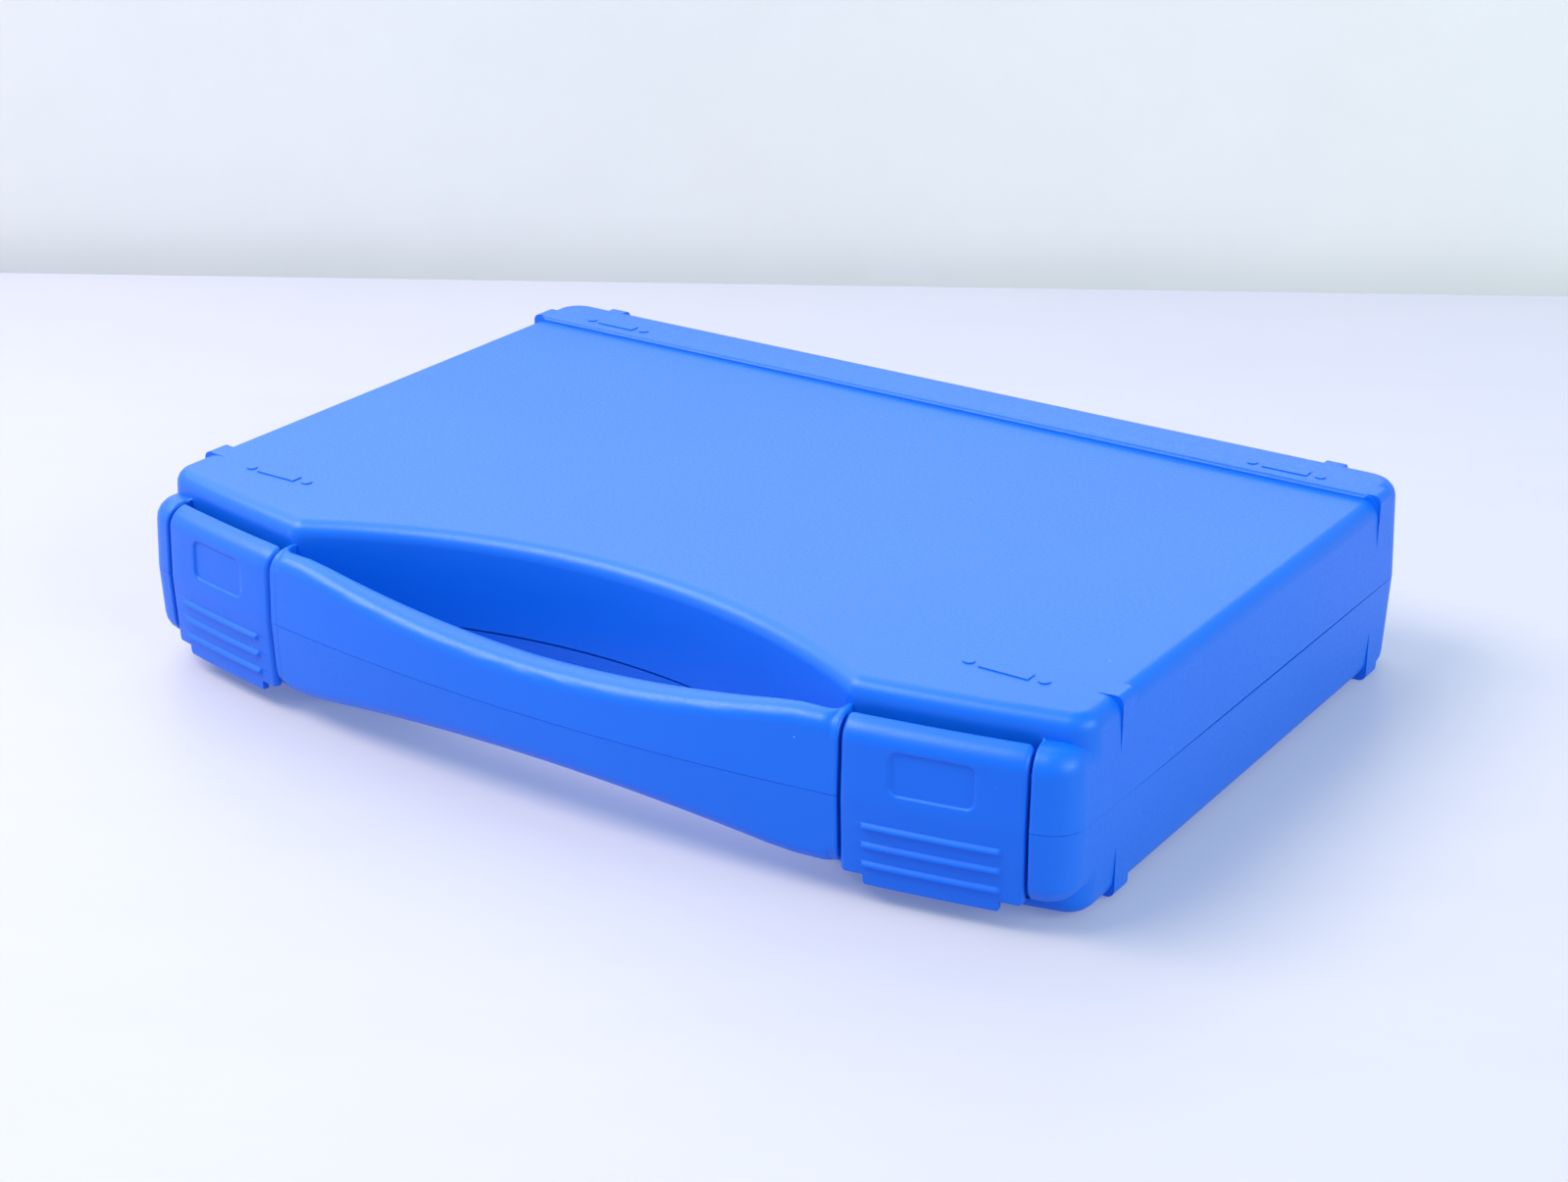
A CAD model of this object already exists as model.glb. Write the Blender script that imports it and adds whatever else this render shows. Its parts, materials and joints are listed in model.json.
"""The looks of a moulded plastic carrying case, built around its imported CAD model.

The camera, the stage and the light are in metres. The case is in mm, and MM turns that into metres.
"""

import json
import math

import bmesh
import bpy
from mathutils import Matrix, Vector

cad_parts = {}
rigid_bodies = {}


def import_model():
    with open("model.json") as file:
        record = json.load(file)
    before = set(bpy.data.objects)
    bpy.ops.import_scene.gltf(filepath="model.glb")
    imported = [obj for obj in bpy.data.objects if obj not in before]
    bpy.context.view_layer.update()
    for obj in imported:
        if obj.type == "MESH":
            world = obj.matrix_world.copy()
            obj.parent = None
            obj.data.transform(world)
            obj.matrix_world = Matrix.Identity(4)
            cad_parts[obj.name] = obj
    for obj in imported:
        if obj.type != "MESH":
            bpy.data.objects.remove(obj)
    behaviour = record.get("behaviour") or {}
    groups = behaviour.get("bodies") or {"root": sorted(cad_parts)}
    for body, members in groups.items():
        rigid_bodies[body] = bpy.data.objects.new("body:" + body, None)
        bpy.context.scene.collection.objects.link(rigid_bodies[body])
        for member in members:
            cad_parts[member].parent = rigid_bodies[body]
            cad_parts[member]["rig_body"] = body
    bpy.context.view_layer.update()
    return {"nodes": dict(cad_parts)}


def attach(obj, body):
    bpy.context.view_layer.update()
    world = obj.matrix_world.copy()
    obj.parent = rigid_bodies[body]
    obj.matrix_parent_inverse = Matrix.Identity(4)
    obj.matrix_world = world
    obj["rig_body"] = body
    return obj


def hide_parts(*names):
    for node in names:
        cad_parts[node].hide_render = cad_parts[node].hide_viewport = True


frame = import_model()
MM = 0.001

# ---------- camera ----------
CAMERA_PLACE = Vector((0.47366, -0.69530, 0.38650))
CAMERA_AZIMUTH = math.radians(33.85)    # turn of the view to the left of straight back
CAMERA_DOWN = math.radians(23.245)
CAMERA_ROLL = math.radians(0.048)
CAMERA_FAR = 30.0
SENSOR_MM = 36.0
FOCAL_PX = 2878.4
PHOTO_W_PX = 1599


def add_camera():
    """The camera, with its place, direction and angle of view fitted to the case."""
    data = bpy.data.cameras.new("camera")
    data.sensor_fit = "HORIZONTAL"
    data.sensor_width = SENSOR_MM
    data.lens = FOCAL_PX / PHOTO_W_PX * SENSOR_MM
    data.clip_end = CAMERA_FAR
    camera = bpy.data.objects.new("camera", data)
    bpy.context.scene.collection.objects.link(camera)
    ahead = Vector((
        -math.sin(CAMERA_AZIMUTH) * math.cos(CAMERA_DOWN),
        math.cos(CAMERA_AZIMUTH) * math.cos(CAMERA_DOWN),
        -math.sin(CAMERA_DOWN),
    ))
    turn = ahead.to_track_quat("-Z", "Y").to_matrix() @ Matrix.Rotation(CAMERA_ROLL, 3, "Z")
    camera.matrix_world = Matrix.Translation(CAMERA_PLACE) @ turn.to_4x4()
    bpy.context.scene.camera = camera


# ---------- materials ----------
SHELL_COLOURS = (0.0, 0.115, 0.74, 1), (0.0, 0.121, 0.77, 1)
LATCH_COLOURS = (0.0, 0.108, 0.73, 1), (0.0, 0.114, 0.76, 1)
PLASTIC_TINT = (0.42, 0.62, 1.0, 1)     # of what the plastic mirrors
PLASTIC_IOR = 1.6
PLASTIC_ROUGH = (0.37, 0.47)
NOISE_MIDDLE = (0.3, 0.7)               # a noise seldom leaves this range
CLOUDS_PER_M = 14.0
FLECKS_PER_M = 900.0                    # of more and less gloss
GRAINS_PER_M = 1500.0
GRAIN_DEPTH = 0.06 * MM
NICKS_PER_M = 60.0
NICK_SIZE = (0.010, 0.018)              # radius that is whole and radius where it has faded, in cells
NICK_STRENGTH = 0.6
NICK_COLOUR = (0.30, 0.48, 0.95, 1)
STEEL_COLOURS = (0.50, 0.51, 0.53, 1), (0.66, 0.67, 0.69, 1)
STEEL_ROUGH = (0.22, 0.42)
RINGS_PER_M = (2000.0, 60.0, 60.0)      # along the pin and across it


class Nodes:
    """Short hand for making and joining shader nodes."""

    def __init__(self, name):
        self.material = bpy.data.materials.new(name)
        self.material.use_nodes = True
        self.tree = self.material.node_tree
        self.shader = self.tree.nodes["Principled BSDF"]

    def node(self, kind, inputs=None, **settings):
        """A new node. Sockets among its inputs are linked, and constants are set."""
        made = self.tree.nodes.new("ShaderNode" + kind)
        for key, value in settings.items():
            setattr(made, key, value)
        for key, value in (inputs or {}).items():
            if isinstance(value, bpy.types.NodeSocket):
                self.tree.links.new(value, made.inputs[key])
            else:
                made.inputs[key].default_value = value
        return made

    def link(self, output, name):
        """Joins an output to one of the inputs of the material's shader."""
        self.tree.links.new(output, self.shader.inputs[name])

    def mix(self, factor, colour_a, colour_b):
        """The colour that a factor picks between two."""
        mixed = self.node("Mix", {"Factor": factor, "A": colour_a, "B": colour_b}, data_type="RGBA")
        return mixed.outputs["Result"]

    def ramp(self, value, source, result=(0.0, 1.0)):
        """A value carried over from one range to another."""
        carried = self.node("MapRange", {
            "Value": value, "From Min": source[0], "From Max": source[1],
            "To Min": result[0], "To Max": result[1]})
        return carried.outputs["Result"]


def moulded_plastic(name, colours, grain):
    """Injection moulded plastic: fine spark-eroded grain, faint flow clouding and small nicks."""
    nodes = Nodes(name)
    place = nodes.node("TexCoord").outputs["Object"]
    cloud = nodes.node("TexNoise", {"Vector": place, "Scale": CLOUDS_PER_M, "Detail": 4.0, "Roughness": 0.55})
    fleck = nodes.node("TexNoise", {"Vector": place, "Scale": FLECKS_PER_M, "Detail": 2.0})
    colour = nodes.mix(nodes.ramp(cloud.outputs["Fac"], NOISE_MIDDLE), *colours)
    spots = nodes.node("TexVoronoi", {"Vector": place, "Scale": NICKS_PER_M})
    nick = nodes.ramp(spots.outputs["Distance"], NICK_SIZE, (NICK_STRENGTH, 0.0))
    nodes.link(nodes.mix(nick, colour, NICK_COLOUR), "Base Color")
    nodes.link(nodes.ramp(fleck.outputs["Fac"], NOISE_MIDDLE, PLASTIC_ROUGH), "Roughness")
    fine = nodes.node("TexNoise", {"Vector": place, "Scale": GRAINS_PER_M, "Detail": 3.0, "Roughness": 0.6})
    bump = nodes.node("Bump", {"Height": fine.outputs["Fac"], "Strength": grain, "Distance": GRAIN_DEPTH})
    nodes.link(bump.outputs["Normal"], "Normal")
    nodes.shader.inputs["IOR"].default_value = PLASTIC_IOR
    nodes.shader.inputs["Specular Tint"].default_value = PLASTIC_TINT
    return nodes.material


def steel():
    """Drawn steel wire: fine rings of brightness along the pin."""
    nodes = Nodes("pin_steel")
    place = nodes.node("TexCoord").outputs["Object"]
    stretched = nodes.node("Mapping", {"Vector": place, "Scale": RINGS_PER_M})
    rings = nodes.node("TexNoise", {"Vector": stretched.outputs["Vector"], "Scale": 1.0, "Detail": 3.0})
    nodes.link(nodes.ramp(rings.outputs["Fac"], (0.0, 1.0), STEEL_ROUGH), "Roughness")
    nodes.link(nodes.mix(rings.outputs["Fac"], *STEEL_COLOURS), "Base Color")
    nodes.shader.inputs["Metallic"].default_value = 1.0
    return nodes.material


# ---------- stage ----------
STAGE_TURN = math.radians(31.09)        # turn of the table's back edge from the back of the case
STAGE_REACH = 4.0                       # to each side, and of the table to the front
TABLE_EDGE = 0.4185                     # from the middle of the case to the table's back edge
SHADOW_GAP = 0.018                      # between the table and the wall
GAP_FLOOR_Z = -0.030
GAP_FLOOR_D = 0.05                      # how far the floor of that gap runs in under the table
WALL_FOOT_Z = -0.028                    # below this the shading bends from the floor to the wall
WALL_TOP_Z = 0.20
STREAK_SIZE = (0.09, 0.03, 0.09)        # length, breadth and height of a brush streak
STREAK_SHADE = 0.92                     # how dark the darkest streaks are
TABLE_COLOUR, TABLE_ROUGH = (0.368, 0.380, 0.455), 0.5
TABLE_GLOW = (0.130, 0.170, 0.285)
WALL_COLOUR, WALL_ROUGH = (0.695, 0.72, 0.81), 0.8


def stage_material(name, colour, rough, glow=(0.0, 0.0, 0.0)):
    """Painted sheet with faint brush streaks along its width. A glow stands for light from below it."""
    nodes = Nodes(name)
    place = nodes.node("TexCoord").outputs["Object"]
    along = nodes.node("Mapping", {
        "Vector": place, "Rotation": (0.0, 0.0, STAGE_TURN), "Scale": STREAK_SIZE,
    }, vector_type="TEXTURE")
    streaks = nodes.node("TexNoise", {
        "Vector": along.outputs["Vector"], "Scale": 1.0, "Detail": 6.0, "Roughness": 0.68,
    })
    shade = [channel * STREAK_SHADE for channel in colour] + [1]
    nodes.link(nodes.mix(streaks.outputs["Fac"], shade, list(colour) + [1]), "Base Color")
    nodes.shader.inputs["Roughness"].default_value = rough
    nodes.shader.inputs["Emission Color"].default_value = list(glow) + [1]
    nodes.shader.inputs["Emission Strength"].default_value = 1.0
    return nodes.material


def add_sheet(name, profile, material):
    """A sheet drawn as a profile of [distance to the back, height] and pulled sideways."""
    turn = Matrix.Rotation(STAGE_TURN, 3, "Z")
    rows = [[turn @ Vector((x, y, z)) for x in (-STAGE_REACH, STAGE_REACH)] for y, z in profile]
    mesh = bpy.data.meshes.new(name)
    faces = [(2 * i, 2 * i + 1, 2 * i + 3, 2 * i + 2) for i in range(len(rows) - 1)]
    mesh.from_pydata([p for row in rows for p in row], [], faces)
    mesh.materials.append(material)
    mesh.shade_smooth()
    sheet = bpy.data.objects.new(name, mesh)
    bpy.context.scene.collection.objects.link(sheet)


def add_stage():
    """A table that runs back to a low pale wall, with a narrow shadow gap between them."""
    add_sheet("table", [(-STAGE_REACH, 0.0), (TABLE_EDGE, 0.0)],
              stage_material("table", TABLE_COLOUR, TABLE_ROUGH, TABLE_GLOW))
    wall = TABLE_EDGE + SHADOW_GAP
    floor = TABLE_EDGE - GAP_FLOOR_D
    profile = [(floor, GAP_FLOOR_Z), (wall, GAP_FLOOR_Z), (wall, WALL_FOOT_Z), (wall, WALL_TOP_Z)]
    add_sheet("wall", profile, stage_material("wall", WALL_COLOUR, WALL_ROUGH))


# ---------- light ----------
SKY_COLOUR = (0.68, 0.83, 1.0, 1)
SKY_STRENGTH = 0.70


def add_area(name, toward, distance, size, power, colour, twist=0.0):
    """A rectangular lamp that lies in the direction toward and faces the case. Its twist is in degrees."""
    data = bpy.data.lights.new(name, "AREA")
    data.shape = "RECTANGLE"
    data.size, data.size_y = size
    data.energy = power
    data.color = colour
    lamp = bpy.data.objects.new(name, data)
    place = Vector(toward).normalized() * distance
    lamp.location = place
    aim = (-place).to_track_quat("-Z", "Y").to_matrix() @ Matrix.Rotation(math.radians(twist), 3, "Z")
    lamp.rotation_euler = aim.to_euler()
    bpy.context.scene.collection.objects.link(lamp)


def add_light():
    """A pale sky and five soft lamps. The key gives the shadows to the right of the case."""
    world = bpy.data.worlds.new("studio")
    bpy.context.scene.world = world
    world.use_nodes = True
    background = world.node_tree.nodes["Background"]
    background.inputs["Color"].default_value = SKY_COLOUR
    background.inputs["Strength"].default_value = SKY_STRENGTH
    add_area("key", toward=(-0.48, -0.37, 0.78), distance=2.4, size=(1.9, 1.05), power=80.0,
             colour=(1.0, 0.82, 0.61), twist=30.0)
    add_area("overhead", toward=(-0.50, 0.20, 0.84), distance=2.2, size=(1.6, 1.2), power=11.0,
             colour=(0.88, 0.87, 1.0))
    add_area("back panel", toward=(-0.60, 0.66, 0.48), distance=1.5, size=(1.7, 1.1), power=8.5,
             colour=(1.0, 0.95, 0.90))
    add_area("window", toward=(-0.85, -0.50, 0.14), distance=1.8, size=(1.4, 0.8), power=3.0,
             colour=(1.0, 0.98, 0.94))
    add_area("side fill", toward=(0.86, -0.08, 0.45), distance=1.8, size=(1.2, 0.8), power=19.5,
             colour=(0.92, 1.0, 0.62))
    bpy.context.scene.view_settings.view_transform = "Standard"


# ---------- shells ----------
# Sizes and places in mm. The rules below hold on both sides, so their x is a distance from the middle.
JOINT_Z = 32.0                          # height of the joint between the halves
EDGE_R = 0.8                            # rounding of the open outer edges
FINE_EDGE_R = 0.25                      # rounding of the step to the strip and of what lies inside
ROUND_STEPS = 3
SHORTEST = 0.45                         # edges that meet shorter ones stay sharp
SHARP = math.radians(33)                # faces that meet at more than this have a sharp edge between them
FLAT = math.radians(0.3)                # faces that meet at less than this become one
SAME_POINT = 0.004                      # points that are nearer than this become one
LARGE_FACE_WEIGHT = 80                  # how much the shading keeps to the larger faces

JOINT_GAP = 0.3                         # gap between the halves in the CAD model
FRONT_GAP = 0.14                        # how wide the same gap shows along the front rail
PALM_GAP = 0.7                          # on the palm wall
CORNER_GAP = 0.05                       # where the side walls meet the corners
SIDE_GAP = 0.55                         # and in the middle of the side walls, which bow out a little
SIDE_MIDDLE = 25.0                      # place of that middle, measured back from the case's middle
SIDE_REACH = 95.0                       # distance from it to where only CORNER_GAP is left
SIDE_CUTS = 12                          # pieces that the rim of a side wall is cut into
SIDE_X, SIDE_LENGTH = 160, 100          # the rims of the side walls lie further out and are longer
FRONT_Y = -100                          # the front rail lies before this
PALM_X, PALM_Y = 100, -45               # the palm wall lies inside and before these
BACK_Y = 116                            # the back wall lies behind this
ON_RIM = 0.01                           # a point this near to the rim lies on it

RIM_Z = 2.2                             # the rims and the lip lie this near to the joint
HANDLE_END_XS = (101.3, 101.6)          # upright edges where the handle meets the recess of a latch
SIDE_RIB_X = 158                        # the ribs over the side edges lie further out than this
SIDE_RIB_YS = (-82, -66), (91, 107)
BACK_RIB_XS, BACK_RIB_Y = (139, 151), 105   # the ribs over the back edges
RIB_Z = 12                              # ribs lie further from the joint than this
REAR_MARK_YS, REAR_MARK_Z = (97.6, 103.6), 62.7             # the marks on the rear strip
FRONT_MARK_YS, FRONT_MARK_ZS = (-100, -70), (62.2, 62.56)   # and at the front of the lid
BOSS_X, BOSS_Y = 152, -88               # the corner bosses lie outside and before these
STEP_YS, STEP_Z = (93, 96), 61          # the step up to the rear strip
STEP_EDGE_YS, STEP_EDGE_Z = (94.0, 94.6), 63.9              # the upper edge of that step
INSIDE_X, INSIDE_YS, INSIDE_ZS = 166, (-78, 116), (2, 60)   # the trays lie within these


def between(value, span):
    """Whether a value lies inside a span of (least, most)."""
    return span[0] < value < span[1]


def seen_gap(point):
    """How wide the joint between the halves shows at a point."""
    if point.y < FRONT_Y:
        return FRONT_GAP
    if abs(point.x) < PALM_X and point.y < PALM_Y:
        return PALM_GAP
    if point.y > BACK_Y:
        return JOINT_GAP
    bow = 1 - ((point.y - SIDE_MIDDLE) / SIDE_REACH) ** 2
    return CORNER_GAP + (SIDE_GAP - CORNER_GAP) * max(0.0, bow)


def on_rim(point):
    """Whether a point lies on the rim that faces the other half."""
    return abs(abs(point.z - JOINT_Z) - JOINT_GAP / 2) < ON_RIM


def cut_side_rims(bm):
    """Cuts the long edges along the rims of the side walls, so that the gap there can follow a curve."""
    for edge in list(bm.edges):
        start, end = edge.verts
        at_side = abs(start.co.x) > SIDE_X * MM and edge.calc_length() > SIDE_LENGTH * MM
        if at_side and on_rim(start.co / MM) and on_rim(end.co / MM):
            for left in range(SIDE_CUTS, 1, -1):
                edge, start = bmesh.utils.edge_split(edge, start, 1 / left)
                edge = next(e for e in start.link_edges if end in e.verts)


def open_joint(bm):
    """Moves the rim up or down, so that the joint is as wide as it shows."""
    for vert in bm.verts:
        if on_rim(vert.co / MM):
            half = math.copysign(seen_gap(vert.co / MM) / 2, vert.co.z / MM - JOINT_Z)
            vert.co.z = (JOINT_Z + half) * MM


def on_rib(point):
    """Whether a point lies on one of the ribs that cross the rounded edges of the case."""
    at_side = abs(point.x) > SIDE_RIB_X and any(between(point.y, span) for span in SIDE_RIB_YS)
    at_back = between(abs(point.x), BACK_RIB_XS) and point.y > BACK_RIB_Y
    return (at_side or at_back) and abs(point.z - JOINT_Z) > RIB_Z


def on_mark(point):
    """Whether a point lies on one of the marks near the corners of the lid."""
    at_rear = point.z > REAR_MARK_Z and between(point.y, REAR_MARK_YS)
    at_front = between(point.z, FRONT_MARK_ZS) and between(point.y, FRONT_MARK_YS)
    return at_rear or at_front


def edge_width(edge):
    """How far to round one sharp edge of a shell. Joint rims, ribs and marks keep their own forms."""
    ends = [v.co / MM for v in edge.verts]
    hollow = edge.calc_face_angle_signed(0.0) < 0
    if any(e.calc_length() < SHORTEST * MM for v in edge.verts for e in v.link_edges):
        return 0.0
    if any(on_rib(p) or on_mark(p) for p in ends):
        return 0.0
    if all(between(abs(p.x), HANDLE_END_XS) for p in ends):
        return 0.0
    if all(abs(p.z - JOINT_Z) < RIM_Z for p in ends):
        return 0.0
    if hollow and all(abs(p.x) > BOSS_X and p.y < BOSS_Y for p in ends):
        return 0.0
    step = all(p.z > STEP_Z and between(p.y, STEP_YS) for p in ends)
    inside = all(abs(p.x) < INSIDE_X and between(p.y, INSIDE_YS) and between(p.z, INSIDE_ZS) for p in ends)
    return FINE_EDGE_R if hollow or step or inside else EDGE_R


def soften_step(mesh):
    """Shades the upper edge of the step to the rear strip as if it were rounded."""
    for edge in mesh.edges:
        ends = [mesh.vertices[i].co / MM for i in edge.vertices]
        if all(p.z > STEP_EDGE_Z and between(p.y, STEP_EDGE_YS) for p in ends):
            edge.use_edge_sharp = False


def cleaned_copy(source, material):
    """A copy of a CAD mesh with whole faces, an opened joint and edges that are weighted for rounding."""
    mesh = source.data.copy()
    # With the CAD model's own normals in place, set_sharp_from_angle misses some of the edges.
    mesh.attributes.remove(mesh.attributes["custom_normal"])
    mesh.materials.clear()
    mesh.materials.append(material)
    bm = bmesh.new()
    bm.from_mesh(mesh)
    bmesh.ops.remove_doubles(bm, verts=bm.verts, dist=SAME_POINT * MM)
    bmesh.ops.dissolve_limit(bm, angle_limit=FLAT, verts=bm.verts, edges=bm.edges,
                             use_dissolve_boundaries=False)
    cut_side_rims(bm)
    open_joint(bm)
    weight = bm.edges.layers.float.new("bevel_weight_edge")
    for edge in bm.edges:
        if edge.is_manifold and edge.calc_face_angle(0.0) > SHARP:
            edge[weight] = edge_width(edge) / EDGE_R
    bm.to_mesh(mesh)
    bm.free()
    mesh.shade_smooth()
    mesh.set_sharp_from_angle(angle=SHARP)
    soften_step(mesh)
    return mesh


def dressed(node, name, material):
    """A copy of a moulded CAD node with its sharp edges rounded."""
    source = frame["nodes"][node]
    piece = bpy.data.objects.new(name, cleaned_copy(source, material))
    bpy.context.scene.collection.objects.link(piece)
    rounding = piece.modifiers.new("rounding", "BEVEL")
    rounding.limit_method = "WEIGHT"
    rounding.width = EDGE_R * MM
    rounding.segments = ROUND_STEPS
    rounding.use_clamp_overlap = False
    normals = piece.modifiers.new("weighted", "WEIGHTED_NORMAL")
    normals.keep_sharp = True
    normals.weight = LARGE_FACE_WEIGHT
    triangles = piece.modifiers.new("triangles", "TRIANGULATE")
    triangles.keep_custom_normals = True
    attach(piece, source["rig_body"])
    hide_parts(node)
    return piece


# ---------- latches ----------
# Sizes in mm. On a latch, across runs along the bow from the latch's middle, behind is the distance in
# from the bow, and height is measured from the joint between the halves. Along is the height on the upright
# part of the face, and goes on as the length of the curve on the rolled top. Outlines are (behind, height).
BOW_R, BOW_Y = 695.0, 567.7             # the front's bow in plan, and the middle that it is struck from
LATCH_TURN = math.radians(10.907)       # from the middle of the bow to the middle of a latch
DRAFT = 0.045                           # lean of the face for each mm away from the joint
LATCH_W = 53.6
LATCH_FOOT = -23.3                      # bottom edge beside the pull tab
LATCH_T = 2.2
SIDE_R = 1.8                            # rounding of the upright edges
FOOT_R = 0.8                            # rounding of the bottom edge
FOOT_LEAST_T = 0.1                      # what the roundings leave of the thickness
PAD_FOOT_T, PAD_TOP_T = 0.9, 0.72       # thickening of the lower half of the back
PAD_RISE = 3                            # from the bottom edge to where it is thickest
ROLL_R = 7.0                            # rolled top
ROLL_Z = 16.0
ROLL_T = 1.5
ROLL_END = math.acos(0.1)               # turn at which the rolled top ends
ROLL_IN = DRAFT * ROLL_Z + ROLL_R       # from the bow to the middle of the roll
ROLL_END_R = 0.4                        # rounding where the rolled top ends
TAB_W, TAB_H = 39.4, 3.0                # pull tab in the middle of the bottom edge
TAB_R = 0.8
TAB_SIDE_W = 0.02                       # what the upright side of the tab takes up
RIB_W = 40.5                            # grip ribs
RIB_HEIGHTS = (-7.3, -13.25, -19.2)
RIB_R = 1.0
RIB_CREST = 0.4                         # the crest lies this far below the middle of a rib
RIB_RISE = 1.1
RIB_SLOPE = 1.15                        # over 1 cuts the crest off flat
FIELD_W, FIELD_H = 24.5, 12.7           # blank label field
FIELD_Z = 9.7
FIELD_FOOT, FIELD_TOP = FIELD_Z - FIELD_H / 2, FIELD_Z + FIELD_H / 2
FIELD_R = 2.5
FIELD_DEPTH = 0.7
FIELD_SOFT = 0.4                        # half width of the field's sloped border
HOOK_W = 30
HOOK_RIM = [(2.34, -12.3), (4.4, -12.3), (4.6, -12.5), (4.6, -13.1), (4.45, -13.4), (2.34, -15.8)]
PIVOT_IN, PIVOT_Z = 5.6, 18.2           # how far the pin lies behind the bow and above the joint
EYE_R, BORE_R = 2.1, 1.05
EYE_X, EYE_W = 12.9, 4.0                # from the latch's middle to an eye, and the width of the eye
EYE_EDGE = 0.3                          # chamfer of the eye's rim
EYE_FOOT = [(2.1, 17.2), (2.1, 19.4), (5.0, 21.3), (5.6, 20.3), (5.6, 16.1), (3.9, 17.2)]
PARALLEL = 1e-9                         # lines whose cross product is smaller never meet
LATCH_SHARP = math.radians(50)

# The lines that a latch is drawn on: steps in mm, shares of a length, and turns round a corner.
SAME_LINE = 0.015                       # lines that are nearer than this become one
FIELD_STEP, FIELD_SIDE_STEP = 2.5, 0.3  # on the floor of the field and at its border
FIELD_MARGIN = FIELD_SOFT + 0.1         # the fine lines at the field's border go this far beyond it
PLAIN_STEP = 2.0
ROLL_STEP = 0.9
HOOK_STEP = 6
EYE_STEPS = 40
RIBS_TOP = -6                           # the plain face above the ribs starts here
RIB_SHARES = (0.0, 0.13, 0.5, 0.9, 1.0, 1.1)
RIB_END_TURNS = (0.0, 0.3, 0.6, 0.9, 1.15, 1.27, 1.4)
TAB_TURNS = [math.radians(degrees) for degrees in (0, 30, 60, 90)]
SIDE_TURNS = [math.radians(degrees) for degrees in range(0, 91, 15)]
FOOT_TURNS = [math.radians(degrees) for degrees in (22.5, 45, 67.5, 90)]
ROLL_END_TURNS = [math.radians(degrees) for degrees in (60, 30)]
QUARTERS = (0.25, 0.5, 0.75, 1.0)


def latch_point(side, across, behind, height):
    """The point of a latch in the frame. The side is -1 for the left and 1 for the right."""
    angle = side * LATCH_TURN + across / BOW_R
    reach = BOW_R - behind
    return Vector((reach * math.sin(angle), BOW_Y - reach * math.cos(angle), JOINT_Z + height)) * MM


def spread(start, stop, step):
    """Even values from start to stop, at most a step apart."""
    count = max(1, math.ceil(abs(stop - start) / step))
    return [start + (stop - start) * i / count for i in range(count + 1)]


def merged(*runs):
    """All values of the runs in rising order, without near doubles."""
    values = []
    for value in sorted(v for run in runs for v in run):
        if not values or value - values[-1] > SAME_LINE:
            values.append(value)
    return values


def rounded_to(end, radius, turns):
    """Values that close in on an end as a quarter circle does."""
    return [end - radius * (1 - math.sin(turn)) for turn in turns]


def latch_face(along):
    """Place and outward direction of the face at a distance along it, as (behind, height, out, up)."""
    if along <= ROLL_Z:
        return DRAFT * abs(along), along, -1.0, math.copysign(DRAFT, along)
    turn = (along - ROLL_Z) / ROLL_R
    out, up = -math.cos(turn), math.sin(turn)
    return ROLL_IN + ROLL_R * out, ROLL_Z + ROLL_R * up, out, up


def latch_relief(across, along):
    """Height of the grip ribs and depth of the label field, outward from the face."""
    rise = 0.0
    for height in RIB_HEIGHTS:
        beyond = max(0.0, abs(across) - (RIB_W / 2 - RIB_R))
        above = along - height + RIB_CREST
        distance = max(above / (RIB_R + RIB_CREST), -above / (RIB_R - RIB_CREST), beyond / RIB_R)
        rise = max(rise, RIB_RISE * min(1.0, RIB_SLOPE * (1 - distance)))
    aside = abs(across) - FIELD_W / 2 + FIELD_R
    apart = abs(along - FIELD_Z) - FIELD_H / 2 + FIELD_R
    outside = math.hypot(max(aside, 0.0), max(apart, 0.0)) + min(max(aside, apart), 0.0) - FIELD_R
    share = min(1.0, max(0.0, 0.5 - outside / (2 * FIELD_SOFT)))
    return rise - FIELD_DEPTH * share * share * (3 - 2 * share)


def latch_foot(across):
    """Height of the bottom edge, with the rounded pull tab in the middle."""
    reach = TAB_W / 2 - abs(across)
    if reach < 0:
        return LATCH_FOOT
    corner = max(0.0, TAB_R - reach)
    return LATCH_FOOT - TAB_H + TAB_R - math.sqrt(TAB_R ** 2 - corner ** 2)


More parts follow.
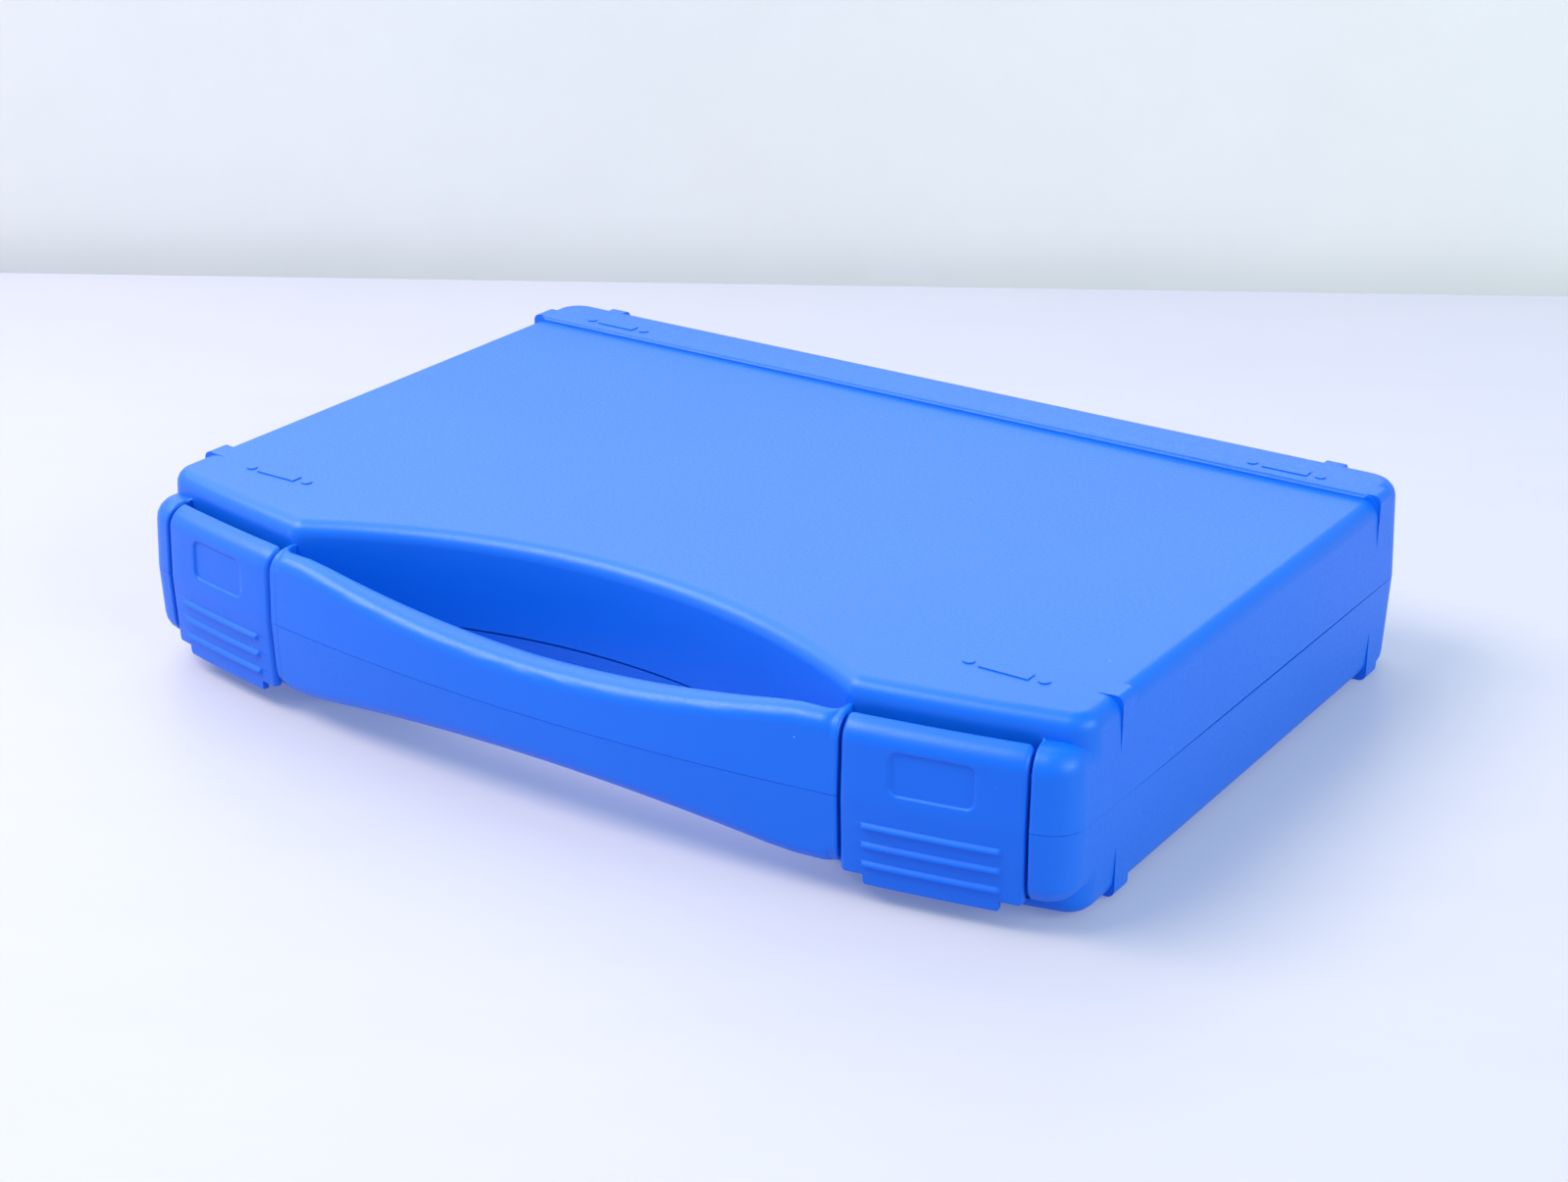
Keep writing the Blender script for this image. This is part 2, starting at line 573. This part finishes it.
def latch_outline(across, lines):
    """Closed section at one place across the latch: down the face, round the foot and up the back."""
    edge = max(0.0, abs(across) - (LATCH_W / 2 - SIDE_R))
    inset = SIDE_R - math.sqrt(max(0.0, SIDE_R ** 2 - edge ** 2))
    foot = latch_foot(across) + inset
    end = ROLL_Z + ROLL_R * ROLL_END - inset
    points = []

    def put(along, sunk):
        """Adds the point that lies some way along the face and is sunk into it."""
        behind, height, out, up = latch_face(along)
        points.append((behind - out * sunk, height + up * -sunk))

    for turn in ROLL_END_TURNS:
        put(end - ROLL_END_R + ROLL_END_R * math.sin(turn), inset + ROLL_END_R * (1 - math.cos(turn)))
    for line in reversed(lines):
        put(min(line, end - ROLL_END_R), inset - latch_relief(across, line))
    last = lines[0]
    for share in QUARTERS:
        put(last + (foot + FOOT_R - last) * share, inset)
    for turn in FOOT_TURNS:
        sunk = min(inset + FOOT_R * (1 - math.cos(turn)), LATCH_T - FOOT_LEAST_T)
        put(foot + FOOT_R * (1 - math.sin(turn)), sunk)
    points += [(LATCH_T - DRAFT * foot, foot), (LATCH_T + PAD_FOOT_T, foot + PAD_RISE),
               (LATCH_T + PAD_TOP_T, 0.0), (LATCH_T, 0.0), (DRAFT * ROLL_Z + ROLL_T, ROLL_Z)]
    inner = ROLL_R - ROLL_T
    for share in QUARTERS:
        turn = (end - ROLL_Z) / ROLL_R * share
        points.append((ROLL_IN - inner * math.cos(turn), ROLL_Z + inner * math.sin(turn)))
    return points


def join(bm, near, far):
    """A band of faces between two rings of equal length."""
    count = len(near)
    for i in range(count):
        j = (i + 1) % count
        bm.faces.new((near[i], near[j], far[j], far[i]))


def skin(bm, rings):
    """Joins rings of equal length and closes both ends."""
    made = [[bm.verts.new(point) for point in ring] for ring in rings]
    for near, far in zip(made, made[1:]):
        join(bm, near, far)
    bm.faces.new(list(reversed(made[0])))
    bm.faces.new(made[-1])


def add_plate(bm, side):
    """The bowed plate with its rolled top, ribs, label field and pull tab."""
    half = merged(
        spread(0, FIELD_W / 2 - FIELD_R, FIELD_STEP),
        spread(FIELD_W / 2 - FIELD_R, FIELD_W / 2 + FIELD_MARGIN, FIELD_SIDE_STEP),
        spread(FIELD_W / 2 + FIELD_MARGIN, RIB_W / 2 - RIB_R, PLAIN_STEP),
        rounded_to(RIB_W / 2, RIB_R, RIB_END_TURNS),
        rounded_to(TAB_W / 2, TAB_R, TAB_TURNS),
        [TAB_W / 2 + TAB_SIDE_W],
        rounded_to(LATCH_W / 2, SIDE_R, SIDE_TURNS),
    )
    columns = merged([-v for v in half], half)
    slopes = (RIB_R + RIB_CREST, RIB_CREST - RIB_R)
    lines = merged(
        [height - RIB_CREST + slope * share
         for height in RIB_HEIGHTS for slope in slopes for share in RIB_SHARES],
        spread(RIBS_TOP, 0, PLAIN_STEP),
        spread(0, FIELD_FOOT - FIELD_MARGIN, PLAIN_STEP),
        spread(FIELD_FOOT - FIELD_MARGIN, FIELD_FOOT + FIELD_R, FIELD_SIDE_STEP),
        spread(FIELD_FOOT + FIELD_R, FIELD_TOP - FIELD_R, FIELD_STEP),
        spread(FIELD_TOP - FIELD_R, FIELD_TOP + FIELD_MARGIN, FIELD_SIDE_STEP),
        spread(FIELD_TOP + FIELD_MARGIN, ROLL_Z + ROLL_R * ROLL_END - ROLL_END_R, ROLL_STEP),
    )
    skin(bm, [[latch_point(side, across, *p) for p in latch_outline(across, lines)] for across in columns])


def add_hook(bm, side):
    """The hook behind the plate that holds on to the lower shell's ledge."""
    columns = spread(-HOOK_W / 2, HOOK_W / 2, HOOK_STEP)
    skin(bm, [[latch_point(side, across, *p) for p in HOOK_RIM] for across in columns])


def eye_reach(inward, up):
    """Distance from the pin to the outline of the eye and its foot, in one direction."""
    reach = EYE_R
    for (start_in, start_up), (end_in, end_up) in zip(EYE_FOOT, EYE_FOOT[1:] + EYE_FOOT[:1]):
        way_in, way_up = start_in - PIVOT_IN, start_up - PIVOT_Z
        side_in, side_up = end_in - start_in, end_up - start_up
        cross = inward * side_up - up * side_in
        if abs(cross) > PARALLEL:
            far = (way_in * side_up - way_up * side_in) / cross
            share = (way_in * up - way_up * inward) / cross
            if far > reach and 0 <= share <= 1:
                reach = far
    return reach


def add_eye(bm, side, middle):
    """A round eye on the pin, with a foot that runs into the back of the rolled top."""
    angle = side * LATCH_TURN
    right = Vector((math.cos(angle), math.sin(angle), 0))
    inward = Vector((-math.sin(angle), math.cos(angle), 0))
    pivot = Vector((0, BOW_Y, JOINT_Z + PIVOT_Z)) - inward * (BOW_R - PIVOT_IN)
    turns = [2 * math.pi * k / EYE_STEPS for k in range(EYE_STEPS)]
    ways = [inward * math.cos(turn) + Vector((0, 0, math.sin(turn))) for turn in turns]

    def ring(x, radii):
        """Points all round the pin, at x along it from the middle of the eye."""
        centre = pivot + right * (middle + x)
        return [bm.verts.new((centre + way * radius) * MM) for way, radius in zip(ways, radii)]

    full = [eye_reach(math.cos(turn), math.sin(turn)) for turn in turns]
    shrunk = [reach - EYE_EDGE for reach in full]
    bore = [BORE_R] * EYE_STEPS
    end = EYE_W / 2
    rings = [ring(-end, shrunk), ring(EYE_EDGE - end, full), ring(end - EYE_EDGE, full),
             ring(end, shrunk), ring(end, bore), ring(-end, bore)]
    for near, far in zip(rings, rings[1:] + rings[:1]):
        join(bm, near, far)


def latch_cover(node, name, side, material):
    """One latch, of a plate, a hook and two eyes."""
    bm = bmesh.new()
    add_plate(bm, side)
    add_hook(bm, side)
    for middle in (-EYE_X - EYE_W / 2, EYE_X + EYE_W / 2):
        add_eye(bm, side, middle)
    bmesh.ops.recalc_face_normals(bm, faces=bm.faces)
    mesh = bpy.data.meshes.new(name)
    bm.to_mesh(mesh)
    bm.free()
    mesh.materials.append(material)
    mesh.shade_smooth()
    mesh.set_sharp_from_angle(angle=LATCH_SHARP)
    piece = bpy.data.objects.new(name, mesh)
    bpy.context.scene.collection.objects.link(piece)
    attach(piece, frame["nodes"][node]["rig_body"])
    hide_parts(node)
    return piece


add_camera()
add_stage()
add_light()
shell_blue = moulded_plastic("shell_blue", SHELL_COLOURS, grain=0.5)
latch_blue = moulded_plastic("latch_blue", LATCH_COLOURS, grain=0.4)
pin_steel = steel()
for node, name in (("base_shell", "base_moulding"), ("lid_shell", "lid_moulding")):
    dressed(node, name, shell_blue)
for side, sign in (("left", -1), ("right", 1)):
    latch_cover("latch_" + side, "latch_cover_" + side, sign, latch_blue)
    for pin in ("latch_pin_", "hinge_pin_"):
        frame["nodes"][pin + side].data.materials.clear()
        frame["nodes"][pin + side].data.materials.append(pin_steel)
